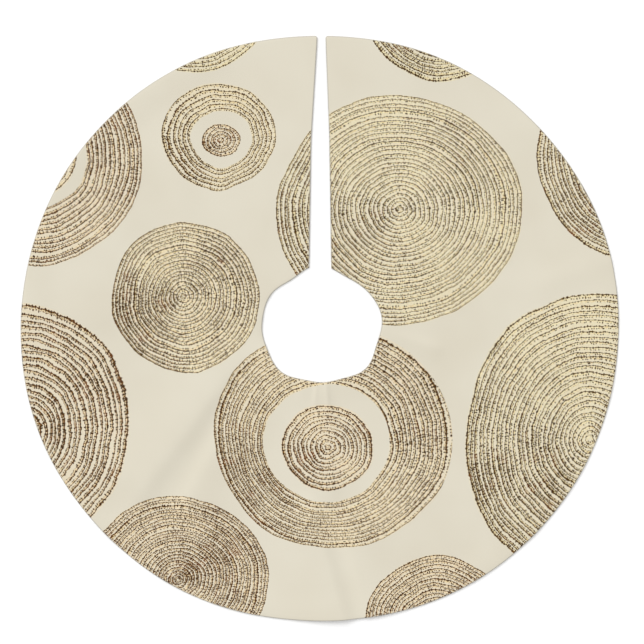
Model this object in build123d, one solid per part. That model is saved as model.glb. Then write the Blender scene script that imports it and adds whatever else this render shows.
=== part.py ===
from build123d import *
import os

# A round tree skirt of printed cloth, laid flat on the floor with its print upwards.
# It is open from the rim to the trunk hole along +Y. The origin is on the floor, in the
# middle of the round, and +Z is up. It folds in half along the line from the trunk hole
# to the rim on the -Y side, so every piece that crosses that line is a right and a left half.
# Three tabs with hook patches are sewn under the left edge of the slit. They lie folded back
# under the cloth, and swing out below the slit to the loop patches under its right edge.
# All sizes are in millimetres.

# Outline as laid: a 44 inch round, drawn in a little along the slit by its soft waves.
SKIRT_WIDTH = 1118.0
SKIRT_DEPTH = 1096.0
HOLE_RADIUS = 108.0
FOLD_SEAM_GAP = 0.3

# The slit, as half its width at three places from the rim to the hole.
SLIT_RIM_HALF_GAP = 7.5
SLIT_SHOULDER_HALF_GAP = 16.5
SLIT_NECK_HALF_GAP = 20.5
SLIT_SHOULDER_Y = 360.0
SLIT_NECK_Y = 100.0

# Cloth layers.
PANEL_THICKNESS = 0.8
SLIT_FACING_THICKNESS = 0.4
RIM_FACING_WIDTH = 15.0
NECK_FACING_WIDTH = 15.0
SLIT_FACING_WIDTH = 65.0
LAYER_GAP = 0.05

# Lines of hem stitches, one along the inner edge of each facing.
THREAD_LINE_WIDTH = 0.6
THREAD_LINE_DEPTH = 0.3

# Closure tabs, hook patches and loop patches.
TAB_Y = {"neck": 160.0, "middle": 330.0, "rim": 500.0}
TAB_WIDTH = 22.0
TAB_LENGTH = 84.0
TAB_THICKNESS = 0.5
TAB_CORNER_RADIUS = 3.0
TAB_FLOOR_GAP = 0.05
TAB_EDGE_INSET = 1.5
ANCHOR_LENGTH = 20.0
HOOK_PATCH_SIZE = (36.0, 20.0)
HOOK_PATCH_END_INSET = 2.0
HOOK_THICKNESS = 0.5
LOOP_PATCH_SIZE = (34.0, 24.0)
LOOP_THICKNESS = 0.7
PATCH_CORNER_RADIUS = 2.0
RUNNING_GAP = 0.3

# Bar-tacks: two rows of dense stitches across each tab's anchored end.
TACK_WIDTH = 1.6
TACK_LENGTH = 16.0
TACK_THICKNESS = 0.2
TACK_INSETS = (5.0, 15.0)

# Care label, blank, sewn into the inner seam of the left slit facing.
LABEL_Y = 420.0
LABEL_SIZE = (38.0, 24.0)
LABEL_THICKNESS = 0.4

# Heights of the layers above the floor, from the lowest up.
TAB_TOP = TAB_FLOOR_GAP + HOOK_THICKNESS + TAB_THICKNESS
TACK_BOTTOM = TAB_TOP + RUNNING_GAP
ANCHOR_BOTTOM = TACK_BOTTOM + TACK_THICKNESS
SLIT_FACING_BOTTOM = ANCHOR_BOTTOM + TAB_THICKNESS
PANEL_BOTTOM = SLIT_FACING_BOTTOM + SLIT_FACING_THICKNESS
TAB_HINGE_Z = (TAB_FLOOR_GAP + TAB_TOP) / 2

BEYOND = SKIRT_WIDTH
SIDES = ("right", "left")


def slit_half_gap(y):
    """Half the slit's width at y, straight from the rim to the shoulder and on to the neck."""
    if y > SLIT_SHOULDER_Y:
        rim_y = SKIRT_DEPTH / 2
        share = (y - SLIT_SHOULDER_Y) / (rim_y - SLIT_SHOULDER_Y)
        return SLIT_SHOULDER_HALF_GAP + share * (SLIT_RIM_HALF_GAP - SLIT_SHOULDER_HALF_GAP)
    share = (y - SLIT_NECK_Y) / (SLIT_SHOULDER_Y - SLIT_NECK_Y)
    return SLIT_NECK_HALF_GAP + share * (SLIT_SHOULDER_HALF_GAP - SLIT_NECK_HALF_GAP)


def slit_edge(inset):
    """The right edge of the slit from the rim down to the neck, moved away from the slit by inset."""
    rim_y = SKIRT_DEPTH / 2
    return [
        (slit_half_gap(rim_y) + inset, BEYOND),
        (slit_half_gap(rim_y) + inset, rim_y),
        (slit_half_gap(SLIT_SHOULDER_Y) + inset, SLIT_SHOULDER_Y),
        (slit_half_gap(SLIT_NECK_Y) + inset, SLIT_NECK_Y),
    ]


def right_half_plane(slit_inset=0.0):
    """All that lies right of the fold line and of the slit."""
    fold_x = FOLD_SEAM_GAP / 2
    corners = slit_edge(slit_inset)
    corners += [(fold_x, SLIT_NECK_Y), (fold_x, -BEYOND), (BEYOND, -BEYOND), (BEYOND, BEYOND)]
    return Polygon(*corners, align=None)


def slit_strip(width):
    """A strip of that width along the right edge of the slit."""
    return Polygon(*slit_edge(0), *reversed(slit_edge(width)), align=None)


def round_band(rim_inset, hole_inset):
    """The cloth's round, this far in from its rim and this far out from its hole."""
    outline = Ellipse(SKIRT_WIDTH / 2 - rim_inset, SKIRT_DEPTH / 2 - rim_inset)
    return outline - Circle(HOLE_RADIUS + hole_inset)


def layer(sketch, side, bottom, thickness):
    """The right half's sketch as a flat solid at a height, mirrored for the left half."""
    solid = extrude(Pos(0, 0, bottom) * sketch, amount=thickness)
    if side == "left":
        solid = mirror(solid, about=Plane.YZ)
    return solid


def face_panel(side):
    """The printed cloth, from the trunk hole to the rim."""
    return layer(round_band(0, 0) & right_half_plane(), side, PANEL_BOTTOM, PANEL_THICKNESS)


def rim_facing(side):
    """The turned band of cloth under the rim, which the skirt rests on."""
    band = Ellipse(SKIRT_WIDTH / 2, SKIRT_DEPTH / 2)
    band -= Ellipse(SKIRT_WIDTH / 2 - RIM_FACING_WIDTH, SKIRT_DEPTH / 2 - RIM_FACING_WIDTH)
    return layer(band & right_half_plane(), side, 0, PANEL_BOTTOM)


def neck_facing(side):
    """The turned band of cloth under the edge of the trunk hole."""
    band = Circle(HOLE_RADIUS + NECK_FACING_WIDTH) - Circle(HOLE_RADIUS)
    return layer(band & right_half_plane(), side, 0, PANEL_BOTTOM)


def between_facings(extra=0.0):
    """The round that is left between the rim facing and the neck facing."""
    gap = LAYER_GAP + extra
    return round_band(RIM_FACING_WIDTH + gap, NECK_FACING_WIDTH + gap)


def slit_facing(side):
    """The wide strip of plain cloth under one edge of the slit, which the closures are sewn to."""
    strip = slit_strip(SLIT_FACING_WIDTH) & between_facings()
    return layer(strip, side, SLIT_FACING_BOTTOM, SLIT_FACING_THICKNESS)


def thread_line(side, where):
    """A line of small stitches that holds a facing's inner edge to the printed cloth."""
    start = LAYER_GAP
    end = LAYER_GAP + THREAD_LINE_WIDTH
    if where == "rim":
        line = round_band(RIM_FACING_WIDTH + start, 0) - round_band(RIM_FACING_WIDTH + end, 0)
        line &= right_half_plane(SLIT_FACING_WIDTH + start)
    elif where == "neck":
        line = round_band(0, NECK_FACING_WIDTH + start) - round_band(0, NECK_FACING_WIDTH + end)
        line &= right_half_plane(SLIT_FACING_WIDTH + start)
    else:
        line = slit_strip(SLIT_FACING_WIDTH + end) - slit_strip(SLIT_FACING_WIDTH + start)
        line &= between_facings(extra=end)
    return layer(line, side, PANEL_BOTTOM - THREAD_LINE_DEPTH, THREAD_LINE_DEPTH)


def tab_hinge_x(y):
    """Where a tab turns over, just inside the left edge of the slit."""
    return -slit_half_gap(y) - TAB_EDGE_INSET


def patch(size, radius, x, y, bottom, thickness):
    """A flat patch with rounded corners, centred at x and y."""
    outline = Pos(x, y, bottom) * RectangleRounded(*size, radius)
    return extrude(outline, amount=thickness)


def tab_anchor(y):
    """The tab's fixed end, sewn flat under the left slit facing."""
    x = tab_hinge_x(y) - ANCHOR_LENGTH / 2
    outline = Pos(x, y, ANCHOR_BOTTOM) * Rectangle(ANCHOR_LENGTH, TAB_WIDTH)
    return extrude(outline, amount=TAB_THICKNESS)


def tab_strap(y):
    """The tab's free length, folded back under its anchor and on under the cloth."""
    outline = Rectangle(TAB_LENGTH, TAB_WIDTH)
    far_corners = outline.vertices().sort_by(Axis.X)[:2]
    outline = fillet(far_corners, TAB_CORNER_RADIUS)
    x = tab_hinge_x(y) - TAB_LENGTH / 2
    bottom = TAB_FLOOR_GAP + HOOK_THICKNESS
    return extrude(Pos(x, y, bottom) * outline, amount=TAB_THICKNESS)


def patch_reach():
    """How far the middle of the hook patch is from the tab's hinge."""
    return TAB_LENGTH - HOOK_PATCH_END_INSET - HOOK_PATCH_SIZE[0] / 2


def hook_patch(y):
    """Hook tape on the tab's free end. Its hooks face the floor, and face up once swung out."""
    x = tab_hinge_x(y) - patch_reach()
    return patch(HOOK_PATCH_SIZE, PATCH_CORNER_RADIUS, x, y, TAB_FLOOR_GAP, HOOK_THICKNESS)


def loop_patch(y):
    """Loop tape sewn under the right slit facing, where the swung-out hook patch arrives."""
    x = tab_hinge_x(y) + patch_reach()
    bottom = SLIT_FACING_BOTTOM - LOOP_THICKNESS
    return patch(LOOP_PATCH_SIZE, PATCH_CORNER_RADIUS, x, y, bottom, LOOP_THICKNESS)


def tab_bar_tacks(y):
    """Two rows of dense stitches across the tab's anchored end."""
    rows = []
    for inset in TACK_INSETS:
        outline = Pos(tab_hinge_x(y) - inset, y, TACK_BOTTOM) * Rectangle(TACK_WIDTH, TACK_LENGTH)
        rows.append(extrude(outline, amount=TACK_THICKNESS))
    return Compound(rows)


def care_label():
    """A blank satin label, caught in the seam of the left slit facing and lying under the cloth."""
    widest_gap = slit_half_gap(LABEL_Y - LABEL_SIZE[1] / 2)
    seam_x = widest_gap + SLIT_FACING_WIDTH + THREAD_LINE_WIDTH + 2 * LAYER_GAP
    bottom = PANEL_BOTTOM - LAYER_GAP - LABEL_THICKNESS
    outline = Pos(-seam_x - LABEL_SIZE[0] / 2, LABEL_Y, bottom) * Rectangle(*LABEL_SIZE)
    return extrude(outline, amount=LABEL_THICKNESS)


def all_pieces():
    """Every piece of the skirt by its node name."""
    pieces = {"care_label": care_label()}
    for side in SIDES:
        pieces[f"face_panel_{side}"] = face_panel(side)
        pieces[f"rim_facing_{side}"] = rim_facing(side)
        pieces[f"neck_facing_{side}"] = neck_facing(side)
        pieces[f"slit_facing_{side}"] = slit_facing(side)
        for where in ("rim", "neck", "slit"):
            pieces[f"{where}_hem_stitches_{side}"] = thread_line(side, where)
    for place, y in TAB_Y.items():
        pieces[f"tab_anchor_{place}"] = tab_anchor(y)
        pieces[f"tab_strap_{place}"] = tab_strap(y)
        pieces[f"tab_bar_tacks_{place}"] = tab_bar_tacks(y)
        pieces[f"hook_patch_{place}"] = hook_patch(y)
        pieces[f"loop_patch_{place}"] = loop_patch(y)
    return pieces


os.makedirs("parts", exist_ok=True)
for node, solid in all_pieces().items():
    export_step(solid, f"parts/{node}.step")

for place, y in TAB_Y.items():
    print(f"hinge of the {place} tab: x {tab_hinge_x(y):.3f}, y {y:.1f}, z {TAB_HINGE_Z:.3f}")
print(f"top of the cloth: z {PANEL_BOTTOM + PANEL_THICKNESS:.2f}")
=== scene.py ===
import math

import bpy
import numpy as np
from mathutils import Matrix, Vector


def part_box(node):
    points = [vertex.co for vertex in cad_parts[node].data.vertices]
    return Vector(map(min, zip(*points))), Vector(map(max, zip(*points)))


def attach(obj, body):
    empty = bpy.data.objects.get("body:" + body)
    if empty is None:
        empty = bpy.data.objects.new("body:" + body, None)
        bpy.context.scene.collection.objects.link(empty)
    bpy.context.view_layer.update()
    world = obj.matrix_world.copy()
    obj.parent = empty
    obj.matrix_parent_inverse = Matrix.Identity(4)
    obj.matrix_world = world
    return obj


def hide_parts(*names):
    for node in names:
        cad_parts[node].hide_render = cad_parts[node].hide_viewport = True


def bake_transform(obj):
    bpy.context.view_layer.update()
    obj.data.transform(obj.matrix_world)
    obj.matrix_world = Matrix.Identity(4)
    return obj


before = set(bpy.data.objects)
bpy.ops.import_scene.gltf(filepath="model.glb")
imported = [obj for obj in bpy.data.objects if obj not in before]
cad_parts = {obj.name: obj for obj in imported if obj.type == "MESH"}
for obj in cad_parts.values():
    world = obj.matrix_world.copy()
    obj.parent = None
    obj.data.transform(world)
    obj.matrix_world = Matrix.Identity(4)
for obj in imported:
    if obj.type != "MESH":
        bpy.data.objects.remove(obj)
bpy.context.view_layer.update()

# ----------------------------------------------------------------------
# Printed face cloth. One round of brushed polyester, cut with a trunk hole and a slit, printed on
# its upper side with rounds of wobbly gold and brown rings. It lies on the floor in soft waves, and
# its edges roll down over the facings that are seamed to them.

MM = 0.001
FACE_TOP = 3.25 * MM
FACE_THICKNESS = 0.8 * MM
HALF_WIDTH = 559.0 * MM
HALF_DEPTH = 548.0 * MM
HOLE_HALF_WIDTH = 111.7 * MM
HOLE_HALF_DEPTH = 106.7 * MM
HOLE_SHIFT = (3.0 * MM, 4.5 * MM)
SLIT_CORNER = 5.0 * MM
EDGE_STEPS = np.array([0.0, 0.15, 0.5, 1.0, 1.6]) * MM
EDGE_ROLL = 2.4 * MM
RIM_DROP = 2.1 * MM
SLIT_DROP = 1.0 * MM
FACE_COLUMNS = 460
FACE_ROWS = 66
FOLD_CLOSENESS = 0.84


def rim_radius(angle):
    """From the middle to the rim: an ellipse, a little fuller at its four corners and towards the slit, with
    three slow waves."""
    across = HALF_DEPTH * np.cos(angle)
    along = HALF_WIDTH * np.sin(angle)
    ellipse = HALF_WIDTH * HALF_DEPTH / np.hypot(across, along)
    fuller = 2.7 * MM * (1 - np.cos(4 * angle)) + 0.8 * MM * (1 + np.sin(angle))
    waves = 1.1 * np.cos(4 * angle - 0.3) + 0.9 * np.cos(6 * angle - 0.7) + 0.8 * np.cos(8 * angle - 2.9)
    return ellipse + fuller + waves * MM


def hole_radius(angle):
    """From the middle to the trunk hole's edge: an ellipse set off to one side, with small lumps."""
    across = HOLE_HALF_DEPTH * np.cos(angle)
    along = HOLE_HALF_WIDTH * np.sin(angle)
    ellipse = HOLE_HALF_WIDTH * HOLE_HALF_DEPTH / np.hypot(across, along)
    shifted = ellipse + HOLE_SHIFT[0] * np.cos(angle) + HOLE_SHIFT[1] * np.sin(angle)
    lumps = 1.9 * np.cos(3 * angle + 1.2) + 2.8 * np.cos(5 * angle - 1.6)
    lumps += 1.5 * np.cos(6 * angle - 2.9) + 1.5 * np.cos(8 * angle - 0.6)
    return shifted + lumps * MM


def slit_edge(y, side):
    """How far the slit's edge lies from the middle line at y, to the right (side 1) or the left (-1).

    The half gap is straight from the hole to the shoulder and on to the rim, where the slit leans right."""
    half_gap = np.interp(y, [100 * MM, 360 * MM, 548 * MM], [20.8 * MM, 16.8 * MM, 7.5 * MM])
    lean = np.interp(y, [330 * MM, 548 * MM], [0.8 * MM, 3.2 * MM])
    return half_gap + side * lean


def soft_step(value, low, high):
    """0 below low, 1 above high, and an even S between them."""
    share = np.clip((value - low) / (high - low), 0, 1)
    return share * share * (3 - 2 * share)


# Soft ridges left by folding and unpacking: start and end of the crest, how wide each flank is on the left
# and on the right hand of it, and height. Two that face each other leave a valley between them.
RIDGES = [
    ((2, -285), (2, -325), (26, 42), 1.3),
    ((-14, -350), (43, -548), (20, 75), 6.2),
    ((50, -372), (101, -548), (60, 18), 3.4),
    ((12, -125), (22, -320), (14, 30), 1.2),
    ((-6, -104), (-9, -140), (5, 5), 0.9),
    ((12, -104), (15, -144), (5, 5), 1.0),
    ((-172, -81), (-330, -290), (27, 82), 7.2),
    ((-140, -125), (-250, -335), (48, 20), 4.2),
    ((118, -4), (215, -36), (10, 21), 1.9),
    ((-250, 150), (-272, 330), (24, 30), 1.3),
    ((430, 90), (548, 128), (20, 20), 1.4),
    ((120, 60), (330, 205), (30, 36), 1.0),
    ((-330, -330), (-395, -392), (24, 26), 1.6),
    ((300, -300), (400, -380), (28, 30), 1.5),
    ((-420, 20), (-556, 24), (24, 28), 1.4),
]


def ridge(x, y, start, end, flanks, height):
    """A soft ridge: a bell across the line from start to end, which fades out over its ends. Its flanks
    may differ in width."""
    x0, y0, x1, y1 = (value * MM for value in (*start, *end))
    length = math.hypot(x1 - x0, y1 - y0)
    along = ((x - x0) * (x1 - x0) + (y - y0) * (y1 - y0)) / length
    across = ((x - x0) * (y1 - y0) - (y - y0) * (x1 - x0)) / length
    width = np.where(across < 0, flanks[0], flanks[1]) * MM
    over_the_end = np.maximum(np.maximum(-along, along - length), 0)
    fade = 1.6 * min(flanks) * MM
    return height * MM * np.exp(-((across / width) ** 2) - (over_the_end / fade) ** 2)


def waves(x, y):
    """How far the laid cloth stands above its flat height: soft ridges, slow rolls that sink where the cloth
    lies straight on the floor between its hems, and nothing near the slit, where the closures are."""
    angle = np.arctan2(y, x)
    reach = np.hypot(x, y)
    from_edges = np.minimum(rim_radius(angle) - reach, reach - hole_radius(angle))
    inside = soft_step(from_edges, 12 * MM, 60 * MM)
    slow_roll = np.sin(x / 0.083 + 1.3 * np.sin(y / 0.14)) * np.sin(y / 0.096 + 0.9)
    sunk = inside * (-0.9 * MM + 0.55 * MM * slow_roll)
    hem_ripple = (1 - inside) * 0.45 * MM * (1 + np.sin(17 * angle + 2.0 * np.sin(3 * angle)))
    ridges = sum(ridge(x, y, *values) for values in RIDGES)
    off_slit = np.maximum(soft_step(np.abs(x), 95 * MM, 150 * MM), soft_step(-y, -95 * MM, -40 * MM))
    return np.minimum(off_slit * (sunk + hem_ripple + ridges), 7.5 * MM)


def edge_roll(distance, drop):
    """How far the cloth has turned down at this distance from its edge: a quarter of an ellipse."""
    share = np.clip(1 - distance / EDGE_ROLL, 0, 1)
    return drop * (1 - np.sqrt(np.clip(1 - share**2, 0, 1)))


def round_columns(count):
    """Turns round the middle from the slit's right edge (0) to its left edge (1), with how far in from each
    edge the first and last columns lie. Columns crowd together at the slit and at the fold opposite it."""
    even = np.linspace(0, 1, count + 1)
    turns = even - FOLD_CLOSENESS / (4 * math.pi) * np.sin(4 * math.pi * even)
    turns = np.concatenate([np.zeros(len(EDGE_STEPS)), turns, np.ones(len(EDGE_STEPS))])
    right_inset = np.full(len(turns), EDGE_ROLL)
    left_inset = np.full(len(turns), EDGE_ROLL)
    right_inset[: len(EDGE_STEPS)] = EDGE_STEPS
    left_inset[-len(EDGE_STEPS):] = EDGE_STEPS[::-1]
    return turns, right_inset, left_inset


def angle_at(reach, turns, right_inset, left_inset):
    """The angle of each column at a reach, clockwise from the slit's right edge to its left edge."""
    right = np.arcsin((slit_edge(reach, 1) + right_inset) / reach)
    left = np.arcsin((slit_edge(reach, -1) + left_inset) / reach)
    return math.pi / 2 - right - turns * (2 * math.pi - right - left)


def slit_distance(reach, angle):
    """How far along the round a point is from the nearer edge of the slit."""
    sideways = reach * np.abs(np.cos(angle))
    side = np.sign(np.cos(angle))
    gap = np.where(side > 0, slit_edge(reach, 1), slit_edge(reach, -1))
    return np.where(np.sin(angle) > 0.1, sideways - gap, 1.0)


def rounded_rim(angle, turns, right_inset, left_inset):
    """The rim's reach, drawn in where it turns the corner into the slit."""
    reach = rim_radius(angle)
    past_corner = np.clip(SLIT_CORNER - slit_distance(reach, angle), 0, SLIT_CORNER)
    return reach - SLIT_CORNER + np.sqrt(SLIT_CORNER**2 - past_corner**2)


def face_grid():
    """The cloth's upper surface on a grid: columns turn round from one edge of the slit to the other, and
    rows run out from the hole to the rim. Height is the flat top plus the waves, less the edge roll. The
    second array says how far over each point has turned, from 0 on the flat to 1 at the very edge."""
    columns = [values[:, None] for values in round_columns(FACE_COLUMNS)]
    share = np.linspace(0, 1, FACE_ROWS + 1)
    ends = len(EDGE_STEPS)
    share = np.concatenate([np.zeros(ends), share, np.ones(ends)])[None, :]
    from_hole = np.full_like(share, EDGE_ROLL)
    from_rim = np.full_like(share, EDGE_ROLL)
    from_hole[0, :ends] = EDGE_STEPS
    from_rim[0, -ends:] = EDGE_STEPS[::-1]
    reach = HOLE_HALF_WIDTH + share * (HALF_WIDTH - HOLE_HALF_WIDTH)
    for _ in range(3):
        angle = angle_at(reach, *columns)
        inner = hole_radius(angle) + from_hole
        outer = rounded_rim(angle, *columns) - from_rim
        reach = inner + share * (outer - inner)
    x = reach * np.cos(angle)
    y = reach * np.sin(angle)
    to_hole = np.where(share == 0, from_hole, EDGE_ROLL)
    to_rim = np.where(share == 1, from_rim, EDGE_ROLL)
    round_drop = edge_roll(np.minimum(to_hole, to_rim), RIM_DROP)
    slit_drop = edge_roll(slit_distance(reach, angle), SLIT_DROP)
    z = FACE_TOP + waves(x, y) - np.maximum(round_drop, slit_drop)
    from_edge = np.minimum(np.minimum(to_hole, to_rim), slit_distance(reach, angle))
    turned = np.clip(1 - from_edge / EDGE_ROLL, 0, 1)
    return np.stack([x, y, z], axis=-1), turned


def grid_faces(columns, rows, closed_columns=False, closed_rows=False):
    """Corner numbers of a grid's quads. A quad looks the way that columns crossed with rows point."""
    numbers = np.arange(columns * rows).reshape(columns, rows)
    if closed_columns:
        numbers = np.vstack([numbers, numbers[:1]])
    if closed_rows:
        numbers = np.hstack([numbers, numbers[:, :1]])
    quads = [numbers[:-1, :-1], numbers[1:, :-1], numbers[1:, 1:], numbers[:-1, 1:]]
    return np.stack(quads, axis=-1).reshape(-1, 4)


def make_piece(name, points, faces, materials, flat=None):
    """A smooth mesh from points and faces. flat is each point's place on the flat cloth, kept as a UV map."""
    mesh = bpy.data.meshes.new(name)
    points = np.asarray(points, float).reshape(-1, 3)
    mesh.from_pydata(points.tolist(), [], np.asarray(faces).tolist())
    mesh.polygons.foreach_set("use_smooth", np.ones(len(mesh.polygons), bool))
    if flat is not None:
        corners = np.empty(len(mesh.loops), np.int32)
        mesh.loops.foreach_get("vertex_index", corners)
        layer = mesh.uv_layers.new(name="flat_cloth")
        layer.data.foreach_set("uv", np.asarray(flat, np.float32).reshape(-1, 2)[corners].ravel())
    for material in materials:
        mesh.materials.append(material)
    piece = bpy.data.objects.new(name, mesh)
    bpy.context.scene.collection.objects.link(piece)
    return piece


def give_thickness(piece, thickness, other_side=0):
    """Turns a surface into cloth of that thickness, laid on the side away from its outer face."""
    solid = piece.modifiers.new("cloth thickness", "SOLIDIFY")
    solid.thickness = thickness
    solid.offset = -1.0
    solid.material_offset = other_side


UV_SPAN = 1.2


class Amount:
    """A number that varies over a piece. Each sum with it adds one Math node to its finish."""

    def __init__(self, finish, socket):
        self.finish = finish
        self.socket = socket

    def __add__(self, other):
        return self.finish.sum("ADD", self, other)

    def __sub__(self, other):
        return self.finish.sum("SUBTRACT", self, other)

    def __mul__(self, other):
        return self.finish.sum("MULTIPLY", self, other)

    def __truediv__(self, other):
        return self.finish.sum("DIVIDE", self, other)

    def __abs__(self):
        return self.finish.sum("ABSOLUTE", self)


class Finish:
    """A material written as sums. Each method adds one node and gives back its output."""

    def __init__(self, name):
        self.material = bpy.data.materials.new(name)
        self.material.use_nodes = True
        self.tree = self.material.node_tree
        self.shader = self.tree.nodes["Principled BSDF"]

    def node(self, kind, inputs, **settings):
        made = self.tree.nodes.new(kind)
        for setting, value in settings.items():
            setattr(made, setting, value)
        for socket, value in inputs.items():
            self.plug(made.inputs[socket], value)
        return made

    def plug(self, socket, value):
        if isinstance(value, Amount):
            value = value.socket
        if isinstance(value, bpy.types.NodeSocket):
            self.tree.links.new(value, socket)
        else:
            socket.default_value = value

    def sum(self, operation, first, second=0.0, third=0.0):
        inputs = {0: first, 1: second, 2: third}
        return Amount(self, self.node("ShaderNodeMath", inputs, operation=operation).outputs[0])

    def larger(self, first, second):
        return self.sum("MAXIMUM", first, second)

    def vector(self, operation, first, second=(0, 0, 0), third=(0, 0, 0)):
        inputs = {0: first, 1: second}
        if operation == "MULTIPLY_ADD":
            inputs[2] = third
        made = self.node("ShaderNodeVectorMath", inputs, operation=operation)
        if operation in ("LENGTH", "DOT_PRODUCT"):
            return Amount(self, made.outputs["Value"])
        return made.outputs["Vector"]

    def joined(self, x, y, z):
        return self.node("ShaderNodeCombineXYZ", {0: x, 1: y, 2: z}).outputs[0]

    def parted(self, vector):
        outputs = self.node("ShaderNodeSeparateXYZ", {0: vector}).outputs
        return [Amount(self, output) for output in outputs]

    def step(self, value, low, high, to_low=0.0, to_high=1.0):
        inputs = {"Value": value, "From Min": low, "From Max": high, "To Min": to_low, "To Max": to_high}
        made = self.node("ShaderNodeMapRange", inputs, interpolation_type="SMOOTHSTEP")
        return Amount(self, made.outputs["Result"])

    def noise(self, vector, scale, detail=1.0):
        inputs = {"Vector": vector, "Scale": scale, "Detail": detail, "Roughness": 0.5}
        return Amount(self, self.node("ShaderNodeTexNoise", inputs).outputs[0])

    def dots(self, along, gap, row):
        """How far a place along a row is from the nearest of its uneven dots, as a share of their gap."""
        inputs = {"W": row * 13.7 + along / gap, "Scale": 1.0, "Randomness": 0.75}
        made = self.node("ShaderNodeTexVoronoi", inputs, voronoi_dimensions="1D")
        return Amount(self, made.outputs["Distance"])

    def chance(self, vector):
        return Amount(self, self.node("ShaderNodeTexWhiteNoise", {"Vector": vector}).outputs["Value"])

    def blend(self, share, first, second):
        made = self.node("ShaderNodeMix", {0: share}, data_type="RGBA")
        self.plug(made.inputs[6], first)
        self.plug(made.inputs[7], second)
        return made.outputs[2]

    def colour(self, value):
        self.plug(self.shader.inputs["Base Color"], value)

    def bump(self, height, strength, distance):
        inputs = {"Height": height, "Strength": strength, "Distance": distance}
        self.plug(self.shader.inputs["Normal"], self.node("ShaderNodeBump", inputs).outputs[0])

    def matt_cloth(self, roughness, sheen):
        self.shader.inputs["Roughness"].default_value = roughness
        self.shader.inputs["Specular IOR Level"].default_value = 0.25
        self.shader.inputs["Sheen Weight"].default_value = sheen
        self.shader.inputs["Sheen Roughness"].default_value = 0.4

    def flat_place(self):
        """A point's place on the flat cloth in millimetres from the skirt's middle."""
        uv = self.node("ShaderNodeUVMap", {}, uv_map="flat_cloth").outputs[0]
        span = UV_SPAN / MM
        return self.vector("MULTIPLY_ADD", uv, (span, span, 0), (-span / 2, -span / 2, 0))

    def object_place(self):
        """A point's place on the object in millimetres."""
        place = self.node("ShaderNodeTexCoord", {}).outputs["Object"]
        made = self.node("ShaderNodeVectorMath", {0: place, "Scale": 1 / MM}, operation="SCALE")
        return made.outputs["Vector"]


def dyed(red, green, blue):
    """A colour from its 0 to 255 shades, as the linear light the shader takes."""
    shades = np.array([red, green, blue]) / 255
    linear = np.where(shades > 0.04045, ((shades + 0.055) / 1.055) ** 2.4, shades / 12.92)
    return (*linear.tolist(), 1.0)


CREAM = dyed(214, 208, 191)
CREAM_SHADE = dyed(208, 201, 183)
LINE_BROWN = dyed(98, 74, 20)
DEEP_BROWN = dyed(106, 68, 14)
KNOT_BROWN = dyed(60, 36, 5)
RUST = dyed(128, 72, 34)
PALE_GOLD = dyed(225, 213, 172)
BLUSH_GOLD = dyed(228, 208, 172)
WARM_GOLD = dyed(214, 190, 136)
# Painted shade: the grey that the printed cloth takes on along its rolled edges, where they turn away from
# the light.
PAINTED_EDGE_SHADE = dyed(164, 160, 152)


def ring_round(x, y, reach, rings, tone, tall=1.0, drift=(0, 0), hollow=0, lumpy=0.022):
    """One round of rings, in millimetres: its middle, the reach of its outermost ring and the number of rings
    that would fill it, how dark it is from 0 to 1, how much taller than wide it is, how far the outline's
    middle has drifted from the rings' own, the bare space in the middle of an open one, and how much of its
    reach the outline's lumps take."""
    return dict(
        x=x, y=y, reach=reach, rings=rings, tone=tone, tall=tall, drift=drift, hollow=hollow, lumpy=lumpy
    )


PRINTED_ROUNDS = [
    ring_round(-236, 624, 143, 18, 0.25),
    ring_round(-179, 351, 105, 13, 0.36, tall=0.94, drift=(-9, 9), hollow=54, lumpy=0.045),
    ring_round(-185, 353, 36, 5, 0.45, tall=0.87),
    ring_round(-539, 329, 209, 26, 0.50, drift=(0, -4), hollow=105),
    ring_round(-539, 329, 84, 10, 0.40),
    ring_round(-256, 61, 139, 20, 0.36, tall=1.02, drift=(4, -3)),
    ring_round(227, 610, 143, 20, 0.28),
    ring_round(150, 224, 233, 28, 0.32, tall=0.94, drift=(-2, -3)),
    ring_round(606, 320, 197, 25, 0.34),
    ring_round(506, -208, 235, 29, 0.32, tall=1.16),
    ring_round(-1, -226, 222, 30, 0.40, tall=0.937, drift=(27, 23), hollow=118),
    ring_round(15, -222, 87, 10, 0.46, tall=0.92),
    ring_round(-547, -194, 186, 20, 0.62, tall=1.22, drift=(0, 12)),
    ring_round(-266, -470, 172, 26, 0.50, tall=0.91),
    ring_round(220, -563, 141, 21, 0.46),
]
ROUND_MARGIN = 7.0


def gather_rounds(finish, place):
    """Each round adds its own values where a point is within its reach, and nothing elsewhere. Rounds don't
    overlap, so the totals are the values of the round a point is in: the way there from its middle, then
    reach, spacing and tone, then hollow, seed and whether there is a round at all, then the drift."""
    totals = [(0, 0, 0)] * 4
    for number, values in enumerate(PRINTED_ROUNDS):
        reach = values["reach"]
        squeeze = (1.0, 1.0 / values["tall"], 0)
        back = (-values["x"], -values["y"] / values["tall"], 0)
        way = finish.vector("MULTIPLY_ADD", place, squeeze, back)
        drift = (values["drift"][0] / reach, values["drift"][1] / values["tall"] / reach, values["lumpy"])
        inner = values["hollow"] - ROUND_MARGIN if values["hollow"] else -reach
        outer = reach + ROUND_MARGIN
        drifted_share = (1 + values["hollow"] / reach) / 2 if values["hollow"] else 1
        to_outline = (drift[0] * reach * drifted_share, drift[1] * reach * drifted_share, 0)
        outline_way = finish.vector("SUBTRACT", way, to_outline)
        length = finish.vector("LENGTH", outline_way)
        within = finish.sum("COMPARE", length, (outer + inner) / 2, (outer - inner) / 2)
        shares = [
            way,
            (reach, reach / values["rings"], values["tone"]),
            (values["hollow"], 3.7 * (number + 1), 1.0),
            drift,
        ]
        totals = [
            finish.vector("MULTIPLY_ADD", share, within, total) for share, total in zip(shares, totals)
        ]
    return totals


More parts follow.
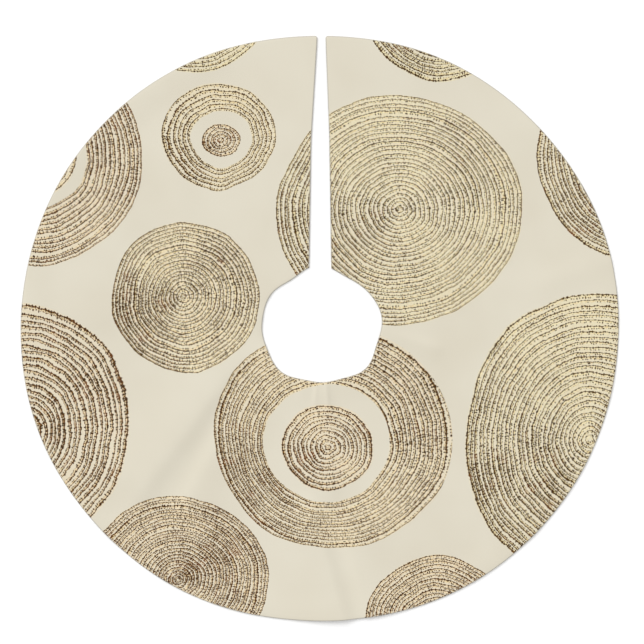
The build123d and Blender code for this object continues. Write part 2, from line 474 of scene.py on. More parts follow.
# In millimetres: the gaps between the knots on a ring's outer and inner line, and half the band's least
# width.
OUTER_KNOT_GAP = 5.8
INNER_KNOT_GAP = 5.1
BAND_HALF_WIDTH = 1.35


def print_rings(finish, place):
    """The printed rings at a point. The way from the round's middle is turned into a ring number and a place
    across that ring: rings are circles that drift, stretched by slow noise round the middle so the outline
    is lumpy, and shaken by finer noise so no line is even. Each ring is a pale gold band between two thin
    brown lines that swell into knots, with brown and gold flecks where the print is dark."""
    way, first, second, drift = gather_rounds(finish, place)
    reach, spacing, tone = finish.parted(first)
    hollow, seed, printed = finish.parted(second)
    spacing = finish.larger(spacing, 1.0)
    length = finish.vector("LENGTH", way)
    heading = finish.vector("NORMALIZE", way)

    most_lumpy = finish.parted(drift)[2]
    drifted = length / (finish.vector("DOT_PRODUCT", heading, drift) + 1.0)
    round_and_seed = finish.vector("ADD", heading, finish.joined(seed, seed, length * 0.004))
    lump = finish.step(finish.noise(round_and_seed, 1.15), 0.25, 0.75, -1.0, 1.0) * most_lumpy
    sway = finish.noise(place, 0.030) * 5.0 - 2.5
    turns = (drifted * lump + drifted + sway) / spacing
    crowding = finish.noise(finish.joined(turns * 0.36, seed, 0.0), 1.0) * 1.5 - 0.75
    turns = turns + crowding
    ring = finish.sum("FLOOR", turns)
    ring_seed = ring * 5.17 + seed
    up_by_ring = finish.joined(0.0, 0.0, ring_seed)
    heading_on_ring = finish.vector("MULTIPLY_ADD", heading, (1.7, 1.7, 0), up_by_ring)
    strays = finish.noise(heading_on_ring, 1.0) * 0.72 - 0.36
    x, y, _ = finish.parted(place)
    on_ring = finish.joined(x, y, ring_seed * 9.0)
    wobble = finish.noise(on_ring, 0.17) * 0.44 - 0.22
    across = finish.sum("FRACT", turns) - 0.5 + (strays + wobble)

    middle_of_ring = (ring + 0.5) * spacing
    inside = finish.sum("LESS_THAN", middle_of_ring, reach)
    beyond_hollow = finish.sum("GREATER_THAN", middle_of_ring, hollow)
    painted = printed * (inside * beyond_hollow)

    to_lower_left = finish.vector("DOT_PRODUCT", heading, (-0.80, -0.42, 0))
    lower_left_shade = to_lower_left * (length / finish.larger(reach, 1.0) * 0.16)
    east, north, _ = finish.parted(heading)
    foil_shade = (east * east - north * north) * 0.11 + east * north * 2.0 * 0.13
    cloudy = finish.noise(place, 0.0125) * 0.7 - 0.35
    streaky = finish.noise(place, 0.045) * 0.4 - 0.20
    darkness = tone + (lower_left_shade + foil_shade + (cloudy + streaky))
    darkness = finish.sum("MINIMUM", finish.larger(darkness, 0.0), 1.1)

    arc = finish.sum("ARCTAN2", north, east) * middle_of_ring
    knots = finish.step(finish.dots(arc, OUTER_KNOT_GAP, ring_seed), 0.15, 0.21, 1.0, 0.0)
    other_knots = finish.step(finish.dots(arc, INNER_KNOT_GAP, ring_seed + 2.6), 0.17, 0.24, 1.0, 0.0)
    other_knots = other_knots * finish.step(finish.noise(on_ring, 0.15), 0.34, 0.56)

    luck = finish.chance(finish.joined(ring, seed, 0.0))
    band_half = (luck * 0.5 + BAND_HALF_WIDTH) / spacing
    pressed = darkness + (finish.noise(on_ring, 0.09, 2.0) - 0.50)
    outer_half = (knots * 0.70 + (pressed * 0.90 + 0.36)) / spacing
    inner_half = (other_knots * 1.35 + (pressed * 1.10 - 0.40)) / spacing
    on_outer = finish.step(abs(across - band_half) - outer_half, -0.02, 0.02, 1.0, 0.0)
    on_inner = finish.step(abs(across + band_half) - inner_half, -0.02, 0.02, 1.0, 0.0)
    on_band = finish.step(abs(across) - band_half, -0.03, 0.03, 1.0, 0.0)
    fleck_depth = finish.noise(on_ring, 0.60) - (darkness * -0.26 + 0.72)
    on_fleck = on_band * finish.step(fleck_depth, -0.03, 0.03)
    lines = finish.larger(finish.larger(on_outer, on_inner), on_fleck)

    rusty = finish.step(finish.noise(place, 0.035, 2.0), 0.52, 0.72)
    rusty = rusty * finish.step(darkness, 0.25, 0.9, 0.10, 0.65)
    gold = finish.step(finish.noise(on_ring, 0.25), 0.48, 0.68, 0.0, 0.8)
    dark_side = finish.step(tone, 0.28, 0.46)
    fill = finish.blend(gold, finish.blend(dark_side, PALE_GOLD, BLUSH_GOLD), WARM_GOLD)
    brown = finish.blend(dark_side, LINE_BROWN, DEEP_BROWN)
    brown = finish.blend(finish.larger(knots, other_knots), brown, KNOT_BROWN)
    brown = finish.blend(rusty, brown, RUST)
    wash = finish.step(darkness, 0.0, 0.6, 0.55, 0.26)
    return fill, finish.larger(on_band * 0.9, wash) * painted, brown, lines * painted


def brushed_nap(finish, place):
    """The brushed face of the cloth: short fibres as fine noise, over the faint grid of the weave."""
    fibres = finish.noise(place, 1.9, 3.0)
    x, y, _ = finish.parted(place)
    weave = finish.sum("SINE", x * 5.2) * finish.sum("SINE", y * 5.2)
    return weave * 0.12 + fibres, fibres


def printed_cloth():
    finish = Finish("ring_printed_cloth")
    place = finish.flat_place()
    height, fibres = brushed_nap(finish, place)
    fill, fill_share, brown, line_share = print_rings(finish, place)
    mottle = fibres * 0.6 + finish.noise(place, 0.006, 2.0) * 0.8
    ground = finish.blend(finish.step(mottle, 0.45, 0.95), CREAM, CREAM_SHADE)
    cloth = finish.blend(line_share, finish.blend(fill_share, ground, fill), brown)
    # Painted shade: near the rolled edges of the rim, the hole and the slit, the colour is drawn towards a
    # grey that stands in for the shade on the turned edge.
    turned = finish.node("ShaderNodeAttribute", {}, attribute_name="turned_edge").outputs["Fac"]
    finish.colour(finish.blend(finish.step(turned, 0.0, 0.6, 0.0, 0.65), cloth, PAINTED_EDGE_SHADE))
    finish.matt_cloth(0.88, 0.06)
    finish.plug(finish.shader.inputs["Roughness"], finish.step(line_share, 0.0, 1.0, 0.88, 0.74))
    finish.bump(height, 0.25, 0.00012)
    return finish.material


def unprinted_cloth():
    finish = Finish("unprinted_cloth")
    place = finish.flat_place()
    height, fibres = brushed_nap(finish, place)
    mottle = finish.noise(place, 0.9, 2.0) * 0.5 + fibres * 0.5
    finish.colour(finish.blend(finish.step(mottle, 0.35, 0.65), dyed(222, 217, 204), dyed(213, 207, 193)))
    finish.matt_cloth(0.9, 0.15)
    finish.bump(height, 0.35, 0.00015)
    return finish.material


def flat_uv(points):
    """Each point's place on the flat cloth, as a share of a square UV_SPAN wide round the middle."""
    return np.asarray(points)[..., :2].reshape(-1, 2) / UV_SPAN + 0.5


def bend_at_fold(piece):
    """Bakes a piece's placement into its points; it is not bent at the fold line."""
    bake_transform(piece)


print_finish = printed_cloth()
plain_finish = unprinted_cloth()
face_points, face_turned = face_grid()
face_quads = grid_faces(*face_points.shape[:2])
printed_face = make_piece(
    "printed_face", face_points, face_quads, [print_finish, plain_finish], flat_uv(face_points)
)
# The printed cloth reads this share to paint shade along its rolled edges.
turned_edge = printed_face.data.attributes.new("turned_edge", "FLOAT", "POINT")
turned_edge.data.foreach_set("value", face_turned.ravel().astype(np.float32))
give_thickness(printed_face, FACE_THICKNESS, other_side=1)
bend_at_fold(printed_face)
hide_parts("face_panel_right", "face_panel_left")

# ----------------------------------------------------------------------
# Rim and neck facings. Narrow bands of plain cloth, seamed to the face cloth's edge, rolled under
# and felled to it at their inner edge, which is turned in. The skirt rests on them. Each is one
# length from one side of the slit to the other.

FACING_THICKNESS = 0.4 * MM
SLIT_SEAM_HEIGHT = 2.2 * MM
FELLED_AT = 15.2 * MM
# The facing's outer surface across its width, in millimetres: how far in from the edge, and how high.
FACING_PROFILE = np.array([
    (0.45, 1.45), (0.15, 1.15), (0.05, 0.85), (0.22, 0.50), (0.65, 0.22), (1.4, 0.08), (2.6, 0.04),
    (5.0, 0.04), (8.0, 0.05), (10.5, 0.28), (12.5, 0.74), (14.0, 1.20), (15.0, 1.60), (15.3, 1.80),
    (15.1, 1.97), (14.2, 2.00), (11.5, 1.88),
]) * MM


def round_facing(name, at_rim):
    """The facing profile carried round the rim, or round the hole with its insets running outward. At the
    slit its ends rise to the height of the slit's edge, so they close under the face cloth."""
    columns = [values[:, None] for values in round_columns(FACE_COLUMNS)]
    inset, height = FACING_PROFILE[None, :, 0], FACING_PROFILE[None, :, 1]
    reach = np.full(inset.shape, HALF_WIDTH if at_rim else HOLE_HALF_WIDTH)
    for _ in range(3):
        angle = angle_at(reach, *columns)
        reach = rounded_rim(angle, *columns) - inset if at_rim else hole_radius(angle) + inset
    x, y = reach * np.cos(angle), reach * np.sin(angle)
    closed = edge_roll(slit_distance(reach, angle), 1.0)
    z = height + (SLIT_SEAM_HEIGHT - height) * closed + waves(x, y)
    points = np.stack([x, y, z], axis=-1)
    faces = grid_faces(*points.shape[:2])
    return make_piece(name, points, faces if at_rim else faces[:, ::-1], [plain_finish], flat_uv(points))


for edge, around, across in (("rim", 3.47, 0.021), ("neck", 0.68, 0.021)):
    facing = round_facing(f"{edge}_facing_band", edge == "rim")
    give_thickness(facing, FACING_THICKNESS)
    bend_at_fold(facing)
    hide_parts(f"{edge}_facing_right", f"{edge}_facing_left")

# ----------------------------------------------------------------------
# Slit facings. A wide strip of the same plain cloth under each edge of the slit, seamed along the
# slit and turned in along its inner edge. The closures are sewn to it, so their stitches don't show
# on the printed side. Its ends are caught under the rim and neck facings.

SLIT_FACING_THICKNESS = 0.2 * MM
SLIT_FACING_WIDTH = 65.0 * MM
CAUGHT_END = 12.0 * MM
# The strip's lower surface across its width, in millimetres: how far in from the slit, and how high.
SLIT_STRIP_PROFILE = np.array([
    (0.30, 2.42), (0.10, 2.30), (0.08, 2.18), (0.30, 2.08), (1.0, 2.05), (4.0, 2.05), (12.0, 2.06),
    (24.0, 2.05), (36.0, 2.06), (48.0, 2.05), (58.0, 2.05), (63.5, 2.06), (64.7, 2.10), (65.0, 2.19),
    (64.8, 2.28), (63.5, 2.31), (60.0, 2.31),
]) * MM


def slit_strip(side):
    """The strip's profile carried from the neck facing to the rim facing along one edge of the slit."""
    inset, height = SLIT_STRIP_PROFILE[:, None, 0], SLIT_STRIP_PROFILE[:, None, 1]
    share = np.linspace(0, 1, 90)[None, :]
    y = 120 * MM + share * 410 * MM + 0 * inset
    for _ in range(4):
        x = side * (slit_edge(y, side) + inset)
        angle = np.arctan2(y, x)
        first, last = hole_radius(angle) + CAUGHT_END, rim_radius(angle) - CAUGHT_END
        reach = first + share * (last - first)
        y = np.sqrt(reach**2 - x**2)
    puckers = 0.05 * MM * np.sin(y / 0.0031 + 3 * np.sin(x / 0.011)) * soft_step(inset, 2 * MM, 20 * MM)
    return np.stack([x, y, height + puckers + 0 * y], axis=-1)


for side, hand in ((1, "right"), (-1, "left")):
    strip_points = slit_strip(side)
    strip_faces = grid_faces(*strip_points.shape[:2])
    if side == 1:
        strip_faces = strip_faces[:, ::-1]
    strip = make_piece(
        f"slit_facing_strip_{hand}", strip_points, strip_faces, [plain_finish], flat_uv(strip_points)
    )
    give_thickness(strip, SLIT_FACING_THICKNESS)
    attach(strip, f"{hand}_half")
    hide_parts(f"slit_facing_{hand}")

# ----------------------------------------------------------------------
# Felling stitches. Short slanted stitches of cream thread, one every 5 mm, that hold each facing's
# turned-in edge to the underside of the face cloth.

STITCH_PITCH = 5.0 * MM
STITCH_SLANT = 1.5 * MM
THREAD_RADIUS = 0.17 * MM


def spun_thread():
    finish = Finish("spun_polyester_thread")
    plies = finish.noise(finish.object_place(), 2.4, 2.0)
    finish.colour(finish.blend(finish.step(plies, 0.35, 0.65), dyed(221, 212, 190), dyed(196, 185, 160)))
    finish.matt_cloth(0.6, 0.1)
    finish.bump(plies, 0.4, 0.00005)
    return finish.material


def thread_tube(path, radius, plane_normal, sides=5):
    """A round thread along a path that lies in a plane: circles square to the path, drawn in towards nothing
    at its two ends, which closes them."""
    path = np.asarray(path, float)
    heading = np.gradient(path, axis=0)
    heading /= np.linalg.norm(heading, axis=1, keepdims=True)
    plane_normal = np.array(plane_normal, float)
    sideways = np.cross(heading, plane_normal)
    turn = np.linspace(0, 2 * math.pi, sides, endpoint=False)[None, :, None]
    radii = np.full(len(path), radius)
    radii[[0, -1]] *= 0.05
    circle = np.cos(turn) * sideways[:, None, :] + np.sin(turn) * plane_normal
    points = path[:, None, :] + radii[:, None, None] * circle
    return points.reshape(-1, 3), grid_faces(len(path), sides, closed_rows=True)


def repeated(shape, places, along, across):
    """Copies of a small shape at each place, its x laid along, its y across and its z square to both."""
    points, faces = shape
    upward = np.cross(along, across)
    axes = np.stack([along, across, upward], axis=1)
    copies = places[:, None, :] + np.einsum("pk,nkd->npd", points, axes)
    numbers = faces[None] + len(points) * np.arange(len(places))[:, None, None]
    return copies.reshape(-1, 3), numbers.reshape(-1, 4)


def felling_stitch(first_height, last_height):
    """One stitch: x along the edge, y across it from the facing to the face cloth, z up. It climbs from the
    facing to the face cloth with a small sag between."""
    share = np.linspace(0, 1, 7)
    across = (-1.2 + 2.5 * share) * MM
    sag = 0.12 * MM * np.sin(math.pi * share)
    height = first_height + (last_height - first_height) * share**1.5 - sag
    path = np.stack([0 * share, across, height], axis=1)
    points, faces = thread_tube(path, THREAD_RADIUS, (1, 0, 0))
    points[:, 0] += STITCH_SLANT * (points[:, 1] / (2.5 * MM))
    return points, faces


def stitch_row(name, edge_points, away, shape):
    """Stitches along an edge given as points, evenly spaced by length. away points from facing to face."""
    steps = np.linalg.norm(np.diff(edge_points, axis=0), axis=1)
    length = np.concatenate([[0], np.cumsum(steps)])
    wanted = np.arange(STITCH_PITCH / 2, length[-1], STITCH_PITCH)
    places = np.stack([np.interp(wanted, length, edge_points[:, k]) for k in range(2)], axis=1)
    across = np.stack([np.interp(wanted, length, away[:, k]) for k in range(2)], axis=1)
    across = np.column_stack([across / np.linalg.norm(across, axis=1, keepdims=True), 0 * wanted])
    along = np.cross(across, np.array([0, 0, 1.0]))
    places = np.column_stack([places, waves(places[:, 0], places[:, 1])])
    points, faces = repeated(shape, places, along, across)
    return make_piece(name, points, faces, [thread_finish])


thread_finish = spun_thread()
from_slit = np.array([SLIT_FACING_WIDTH + 2 * MM])
for edge in ("rim", "neck"):
    turns = np.linspace(0, 1, 900)
    reach = np.full(turns.shape, HALF_WIDTH if edge == "rim" else HOLE_HALF_WIDTH)
    for _ in range(3):
        angle = angle_at(reach, turns, from_slit, from_slit)
        reach = rim_radius(angle) - FELLED_AT if edge == "rim" else hole_radius(angle) + FELLED_AT
    outward = np.stack([np.cos(angle), np.sin(angle)], axis=1)
    edge_points = outward * reach[:, None]
    away = -outward if edge == "rim" else outward
    row = stitch_row(f"{edge}_felling_stitches", edge_points, away, felling_stitch(1.32 * MM, 2.5 * MM))
    bend_at_fold(row)
    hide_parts(f"{edge}_hem_stitches_right", f"{edge}_hem_stitches_left")

for side, hand in ((1, "right"), (-1, "left")):
    y = np.linspace(140 * MM, 522 * MM, 200)
    x = side * (slit_edge(y, side) + SLIT_FACING_WIDTH)
    away = np.stack([0 * y + side, 0 * y], axis=1)
    shape = felling_stitch(1.95 * MM, 2.5 * MM)
    row = stitch_row(f"slit_felling_stitches_{hand}", np.stack([x, y], axis=1), away, shape)
    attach(row, f"{hand}_half")
    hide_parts(f"slit_hem_stitches_{hand}")

# ----------------------------------------------------------------------
# Closure tabs. Three short lengths of woven polyester webbing. One end of each is sewn flat under
# the left slit facing, and the rest turns over just inside the slit's edge and lies folded back.

TAB_PLACES = {"neck": 160.0 * MM, "middle": 330.0 * MM, "rim": 500.0 * MM}
TAB_HALF_WIDTH = 11.0 * MM
TAB_LENGTH = 84.0 * MM
ANCHOR_LENGTH = 20.0 * MM
TAB_CORNER = 3.0 * MM
WEBBING_HALF_THICKNESS = 0.24 * MM
ANCHOR_HEIGHT = 1.80 * MM
STRAP_HEIGHT = 0.80 * MM
RIB_PITCH = 1.9 * MM


def tab_hinge(place):
    """Where the tab turns over: a tab's anchor ends there, 1.5 mm inside the slit's edge."""
    return float(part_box(f"tab_anchor_{place}")[1][0])


def woven_webbing():
    """Webbing: ribs across the length, with the warp's herringbone over them."""
    finish = Finish("woven_webbing")
    uv = finish.node("ShaderNodeUVMap", {}, uv_map="flat_cloth").outputs[0]
    u, v, _ = finish.parted(uv)
    ribs = finish.sum("SINE", u * (2 * math.pi * 74))
    zigzag = abs(finish.sum("FRACT", v * 6) - 0.5)
    slanted = finish.sum("SINE", u * 700.0 + zigzag * 18.0)
    weave = slanted * 0.5 + ribs * 0.3
    fuzz = finish.noise(finish.object_place(), 1.7, 2.0)
    shade = finish.step(weave * 0.25 + fuzz, 0.2, 0.8)
    finish.colour(finish.blend(shade, dyed(188, 179, 156), dyed(222, 215, 196)))
    finish.matt_cloth(0.7, 0.2)
    finish.bump(weave + fuzz, 0.5, 0.00012)
    return finish.material


def webbing_tab(place, y_middle):
    """A flat rounded section carried along the tab's line: out along the anchor, half a turn down, and back
    along the strap. The section is an oval that is almost a rectangle, with the weave's ribs raised on it.
    Its corners are rounded at the strap's end, and both ends are drawn in to close."""
    hinge = tab_hinge(place)
    turn_radius = (ANCHOR_HEIGHT - STRAP_HEIGHT) / 2
    turn_length = math.pi * turn_radius
    whole = ANCHOR_LENGTH + turn_length + TAB_LENGTH
    straight = np.linspace(0.2 * MM, whole - 0.2 * MM, 236)
    in_the_turn = ANCHOR_LENGTH + np.linspace(-0.4 * MM, turn_length + 0.4 * MM, 14)
    ends = np.array([0, 0.05 * MM, whole - 0.05 * MM, whole])
    length = np.sort(np.concatenate([straight, in_the_turn, ends]))[:, None]
    turned = np.clip((length - ANCHOR_LENGTH) / turn_length, 0, 1) * math.pi
    past = np.maximum(length - ANCHOR_LENGTH - turn_length, 0)
    before = np.minimum(length - ANCHOR_LENGTH, 0)
    line_x = hinge + before - past + turn_radius * np.sin(turned)
    line_z = (ANCHOR_HEIGHT + STRAP_HEIGHT) / 2 + turn_radius * np.cos(turned)
    from_end = np.clip(whole - length, 0, TAB_CORNER)
    corner = TAB_CORNER - np.sqrt(TAB_CORNER**2 - (TAB_CORNER - from_end) ** 2)
    half_width = TAB_HALF_WIDTH - corner
    round_section = np.linspace(0, 2 * math.pi, 84, endpoint=False)[None, :]
    width_share = np.sign(np.cos(round_section)) * np.abs(np.cos(round_section)) ** 0.8
    thick_share = np.sign(np.sin(round_section)) * np.abs(np.sin(round_section)) ** 0.25
    across = half_width * width_share
    closing = np.clip(np.minimum(length, whole - length) / (0.2 * MM), 0.02, 1) ** 0.5
    ribs = 1 + 0.14 * np.sin(2 * math.pi * length / RIB_PITCH) * np.cos(2 * math.pi * across / RIB_PITCH)
    thick = WEBBING_HALF_THICKNESS * thick_share * closing * ribs
    x = line_x + thick * np.sin(turned)
    z = line_z + thick * np.cos(turned)
    points = np.stack([x, y_middle + across + 0 * x, z], axis=-1)
    flat = np.stack([length / whole + 0 * across, 0.5 + across / (4 * TAB_HALF_WIDTH) + 0 * length], axis=-1)
    faces = grid_faces(*points.shape[:2], closed_rows=True)
    return make_piece(f"webbing_tab_{place}", points, faces, [webbing_finish], flat)


webbing_finish = woven_webbing()
for place, y_middle in TAB_PLACES.items():
    tab = webbing_tab(place, y_middle)
    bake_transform(tab)
    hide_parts(f"tab_anchor_{place}", f"tab_strap_{place}")

# ----------------------------------------------------------------------
# Bar-tacks. Two rows of dense zigzag stitching across each tab's anchor, which hold it to the
# facing and stop it tearing away.

TACK_INSETS = (5.0 * MM, 15.0 * MM)
TACK_LENGTH = 16.0 * MM
TACK_SWING = 0.68 * MM
TACK_STITCHES = 30
TACK_THREAD = 0.09 * MM


def bar_tack(x_middle, y_middle, height):
    """A thread that swings from side to side as a wave on its way across the tab."""
    share = np.linspace(0, 1, TACK_STITCHES * 6 + 1)
    swing = TACK_SWING * np.sin(2 * math.pi * TACK_STITCHES * share)
    y = y_middle + TACK_LENGTH * 0.97 * (share - 0.5)
    path = np.stack([x_middle + swing, y, 0 * share + height], axis=1)
    return thread_tube(path, TACK_THREAD, (0, 0, 1))


def joined(parts):
    """Several small shapes as one: their points in a row, with each one's faces numbered on from the last."""
    starts = np.cumsum([0] + [len(points) for points, _ in parts[:-1]])
    points = np.concatenate([points for points, _ in parts])
    faces = np.concatenate([faces + start for (_, faces), start in zip(parts, starts)])
    return points, faces


for place, y_middle in TAB_PLACES.items():
    tacks = [bar_tack(tab_hinge(place) - inset, y_middle, 1.47 * MM) for inset in TACK_INSETS]
    tack = make_piece(f"bar_tacks_{place}", *joined(tacks), [thread_finish])
    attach(tack, "left_half")
    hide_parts(f"tab_bar_tacks_{place}")

# ----------------------------------------------------------------------
# Hook and loop patches. Nylon touch tape with rounded corners: a woven base with rows of small
# hooks on each tab's free end, and a brushed base covered in soft loops under the right slit
# facing. A line of stitches runs round each patch, just inside its edge.

PATCH_CORNER = 2.0 * MM
PATCH_MARGIN = 1.6 * MM


def patch_outline(half_x, half_y, inset, count=72):
    """A rounded rectangle, this far inside its edge, as points at even turns round it."""
    corner = max(PATCH_CORNER - inset, 0.3 * MM)
    turn = np.linspace(0, 2 * math.pi, count, endpoint=False) + math.pi / count
    straight_x, straight_y = half_x - inset - corner, half_y - inset - corner
    x = straight_x * np.sign(np.cos(turn)) + corner * np.cos(turn)
    y = straight_y * np.sign(np.sin(turn)) + corner * np.sin(turn)
    return np.stack([x, y], axis=1)


def patch_base(low, high, bottom, top):
    """A thin slab with rounded corners and a softened edge, closed in the middle of both faces."""
    centre = (low + high) / 2
    half_x, half_y = (high - low)[:2] / 2
    soft = min((top - bottom) / 2, 0.15 * MM)
    levels = [(soft * 6, bottom), (soft, bottom), (0, bottom + soft)]
    levels += [(0, top - soft), (soft, top), (soft * 6, top)]
    rings = []
    for inset, height in levels:
        outline = patch_outline(half_x, half_y, inset) + centre[:2]
        rings.append(np.column_stack([outline, np.full(len(outline), height)]))
    middle = np.tile([[centre[0], centre[1], 0]], (len(rings[0]), 1))
    rings = [middle + [0, 0, bottom], *rings, middle + [0, 0, top]]
    points = np.stack(rings, axis=1)
    return points.reshape(-1, 3), grid_faces(*points.shape[:2], closed_columns=True)


def patch_stitches(low, high, height):
    """A running stitch just inside the patch's edge: short threads, each from one hole to the next."""
    centre = (low + high) / 2
    half_x, half_y = (high - low)[:2] / 2
    corners = patch_outline(half_x, half_y, PATCH_MARGIN) + centre[:2]
    corners = np.vstack([corners, corners[:1]])
    steps = np.linalg.norm(np.diff(corners, axis=0), axis=1)
    length = np.concatenate([[0], np.cumsum(steps)])
    count = int(length[-1] / (2.4 * MM))
    middles = (np.arange(count) + 0.5) * length[-1] / count
    places = np.stack([np.interp(middles, length, corners[:, k]) for k in range(2)], axis=1)
    ahead = np.stack([np.interp(middles + 0.3 * MM, length, corners[:, k]) for k in range(2)], axis=1)
    along = np.column_stack([ahead - places, np.zeros(count)])
    along /= np.linalg.norm(along, axis=1, keepdims=True)
    across = np.cross(np.array([0, 0, 1.0]), along)
    share = np.linspace(-1, 1, 6)
    path = np.stack([0.95 * MM * share, 0 * share, -0.06 * MM * (1 - share**2)], axis=1)
    shape = thread_tube(path, 0.10 * MM, (0, 1, 0), sides=5)
    return repeated(shape, np.column_stack([places, np.full(count, height)]), along, across)


def patch_pile(low, high, height, pitch, shape, rng, even):
    """Hooks or loops in rows over a patch, inside its line of stitches. Loops are shaken out of line and
    turned all ways; hooks stay in rows and lean with the row."""
    margin = PATCH_MARGIN + 0.6 * MM
    x, y = np.meshgrid(*(np.arange(low[axis] + margin, high[axis] - margin, pitch) for axis in (0, 1)))
    shift = 0.05 if even else 0.45
    x = x.ravel() + rng.uniform(-shift, shift, x.size) * pitch
    y = y.ravel() + rng.uniform(-shift, shift, y.size) * pitch
    turn = rng.normal(0, 0.15, x.size) if even else rng.uniform(0, 2 * math.pi, x.size)
    along = np.stack([np.cos(turn), np.sin(turn), 0 * turn], axis=1)
    across = np.stack([np.sin(turn), -np.cos(turn), 0 * turn], axis=1)
    return repeated(shape, np.column_stack([x, y, np.full(x.size, height)]), along, across)


def touch_tape(name, light, dark, roughness):
    finish = Finish(name)
    place = finish.object_place()
    x, y, _ = finish.parted(place)
    rows = finish.sum("SINE", x * 7.0) * finish.sum("SINE", y * 7.0)
    shade = rows * 0.12 + finish.noise(place, 1.3, 3.0)
    finish.colour(finish.blend(finish.step(shade, 0.3, 0.7), dark, light))
    finish.matt_cloth(roughness, 0.25)
    finish.bump(shade, 0.4, 0.0001)
    return finish.material


def hook_shape():
    """A stem that rises and bends over at its tip. Its z runs down from the tape."""
    path = np.array([(0, 0, -0.05), (0, 0, 0.12), (0.06, 0, 0.21), (0.16, 0, 0.24), (0.22, 0, 0.17)]) * MM
    return thread_tube(path, 0.055 * MM, (0, 1, 0), sides=4)


def loop_shape():
    """Half a ring, whose feet are in the tape. Its z runs down from the tape."""
    turn = np.linspace(-0.2, math.pi + 0.2, 7)
    path = np.stack([0.42 * MM * np.cos(turn), 0 * turn, 0.22 * MM * np.sin(turn)], axis=1)
    return thread_tube(path, 0.055 * MM, (0, 1, 0), sides=4)


tape_finishes = {
    "hook": touch_tape("nylon_hook_tape", dyed(226, 222, 210), dyed(204, 199, 184), 0.45),
    "loop": touch_tape("brushed_loop_tape", dyed(230, 226, 214), dyed(206, 200, 184), 0.8),
}
for number, (place, y_middle) in enumerate(TAB_PLACES.items()):
    for kind in ("hook", "loop"):
        node = f"{kind}_patch_{place}"
        low, high = (np.array(corner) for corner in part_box(node))
        bottom = low[2] + (0.26 if kind == "hook" else 0.34) * MM
        rng = np.random.default_rng(11 + number)
        if kind == "hook":
            pile = patch_pile(low, high, bottom, 1.15 * MM, hook_shape(), rng, even=True)
        else:
            pile = patch_pile(low, high, bottom, 0.92 * MM, loop_shape(), rng, even=False)
        base = patch_base(low, high, bottom, high[2])
        patch = make_piece(f"{kind}_tape_{place}", *joined([base, pile]), [tape_finishes[kind]])
        stitches = patch_stitches(low, high, bottom)
        seam = make_piece(f"{kind}_tape_stitches_{place}", *stitches, [thread_finish])
        body = f"tab_{place}" if kind == "hook" else "right_half"
        for piece in (patch, seam):
            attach(piece, body)
        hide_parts(node)

# ----------------------------------------------------------------------
# Care label. A blank white satin ribbon, folded in half, with both ends caught in the inner seam
# of the left slit facing. It lies loose under the cloth and curls a little.

LABEL_LAYER = 0.12 * MM


def satin():
    finish = Finish("label_satin_weave")
    place = finish.object_place()
    warp = finish.sum("SINE", finish.parted(place)[1] * 16.0)
    shade = warp * 0.12 + finish.noise(place, 2.2, 2.0)
    finish.colour(finish.blend(finish.step(shade, 0.3, 0.7), dyed(232, 230, 223), dyed(220, 217, 208)))
    finish.matt_cloth(0.34, 0.1)
    finish.bump(shade, 0.3, 0.00004)
    return finish.material


def folded_label():
    """A ribbon's line from the seam out to its fold and back, carried across the label's width. The fold is
    half a turn, and the loose end curls by a slow wave."""
    low, high = (np.array(corner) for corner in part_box("care_label"))
    length = high[0] - low[0]
    turn_radius = 0.11 * MM
    middle = (low[2] + high[2]) / 2
    out = np.linspace(0, 1, 24)
    turn = np.linspace(0, math.pi, 9)[1:-1]
    fold_x = low[0] + turn_radius + LABEL_LAYER
    seam_x = high[0] + 2 * MM
    to_fold = seam_x - out * (seam_x - fold_x)
    back = fold_x + out * (seam_x - fold_x)
    x = np.concatenate([to_fold, fold_x - turn_radius * np.sin(turn), back])[:, None]
    z = np.concatenate([0 * out + turn_radius, turn_radius * np.cos(turn), 0 * out - turn_radius])[:, None]
    y = np.linspace(low[1], high[1], 26)[None, :]
    from_seam = (high[0] - x) / length
    curl = -0.10 * MM * np.clip(from_seam, 0, 1) ** 2 * (1 + 0.6 * np.cos(2 * math.pi * (y - low[1]) / 0.024))
    return np.stack([x + 0 * y, y + 0 * x, middle - 0.1 * MM + z + curl], axis=-1)


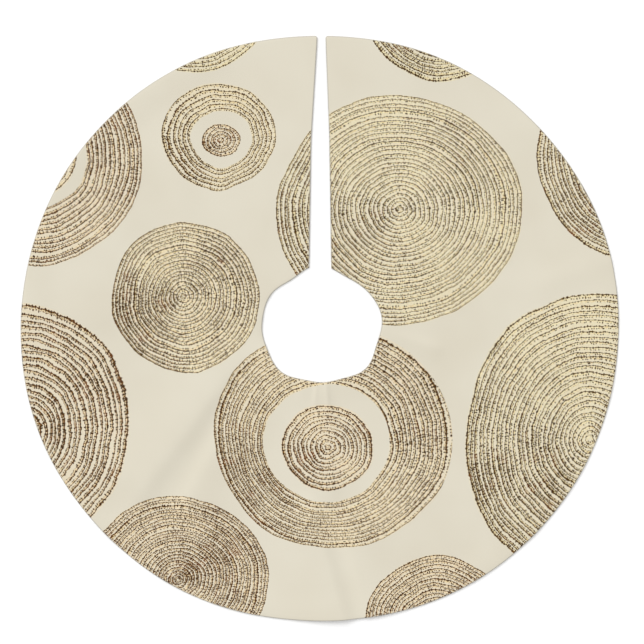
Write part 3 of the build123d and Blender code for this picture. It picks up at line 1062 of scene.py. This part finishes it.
label_points = folded_label()
label = make_piece("blank_care_label", label_points, grid_faces(*label_points.shape[:2])[:, ::-1], [satin()])
give_thickness(label, LABEL_LAYER)
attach(label, "left_half")
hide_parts("care_label")

# ----------------------------------------------------------------------
# Floor, light and camera: a pale floor, a large soft light from the upper left over an even fill,
# and a camera straight above.

CAMERA_LENS = 100.0
SENSOR_WIDTH = 36.0
VIEW_WIDTH = 1.2069
CAMERA_PLACE = (4.2 * MM, 12.6 * MM)
FILL_STRENGTH = 0.80
KEY_STRENGTH = 1.75
KEY_TILT = math.radians(38)


def floor_finish():
    finish = Finish("pale_floor")
    grain = finish.noise(finish.node("ShaderNodeTexCoord", {}).outputs["Object"], 3.0, 2.0)
    finish.colour(finish.blend(grain, dyed(250, 250, 250), dyed(247, 247, 247)))
    finish.shader.inputs["Roughness"].default_value = 0.9
    finish.shader.inputs["Specular IOR Level"].default_value = 0.1
    return finish.material


FLOOR_HALF = 40.0
floor_corners = [(x * FLOOR_HALF, y * FLOOR_HALF, 0) for x, y in ((-1, -1), (1, -1), (1, 1), (-1, 1))]
floor = make_piece("floor", floor_corners, [(0, 1, 2, 3)], [floor_finish()])

scene = bpy.context.scene
scene.view_settings.view_transform = "Standard"
world = bpy.data.worlds.new("studio")
world.use_nodes = True
background = world.node_tree.nodes["Background"].inputs
background["Color"].default_value = (1, 1, 1, 1)
background["Strength"].default_value = FILL_STRENGTH
scene.world = world

key = bpy.data.lights.new("soft key", "SUN")
key.energy = KEY_STRENGTH
key.angle = math.radians(40)
key_light = bpy.data.objects.new("soft key", key)
key_light.rotation_euler = (-KEY_TILT, -KEY_TILT, 0)
scene.collection.objects.link(key_light)

camera_data = bpy.data.cameras.new("camera")
camera_data.lens = CAMERA_LENS
camera_data.sensor_width = SENSOR_WIDTH
camera_data.clip_end = 100.0
camera = bpy.data.objects.new("camera", camera_data)
camera.location = (*CAMERA_PLACE, FACE_TOP + VIEW_WIDTH * CAMERA_LENS / SENSOR_WIDTH)
scene.collection.objects.link(camera)
scene.camera = camera
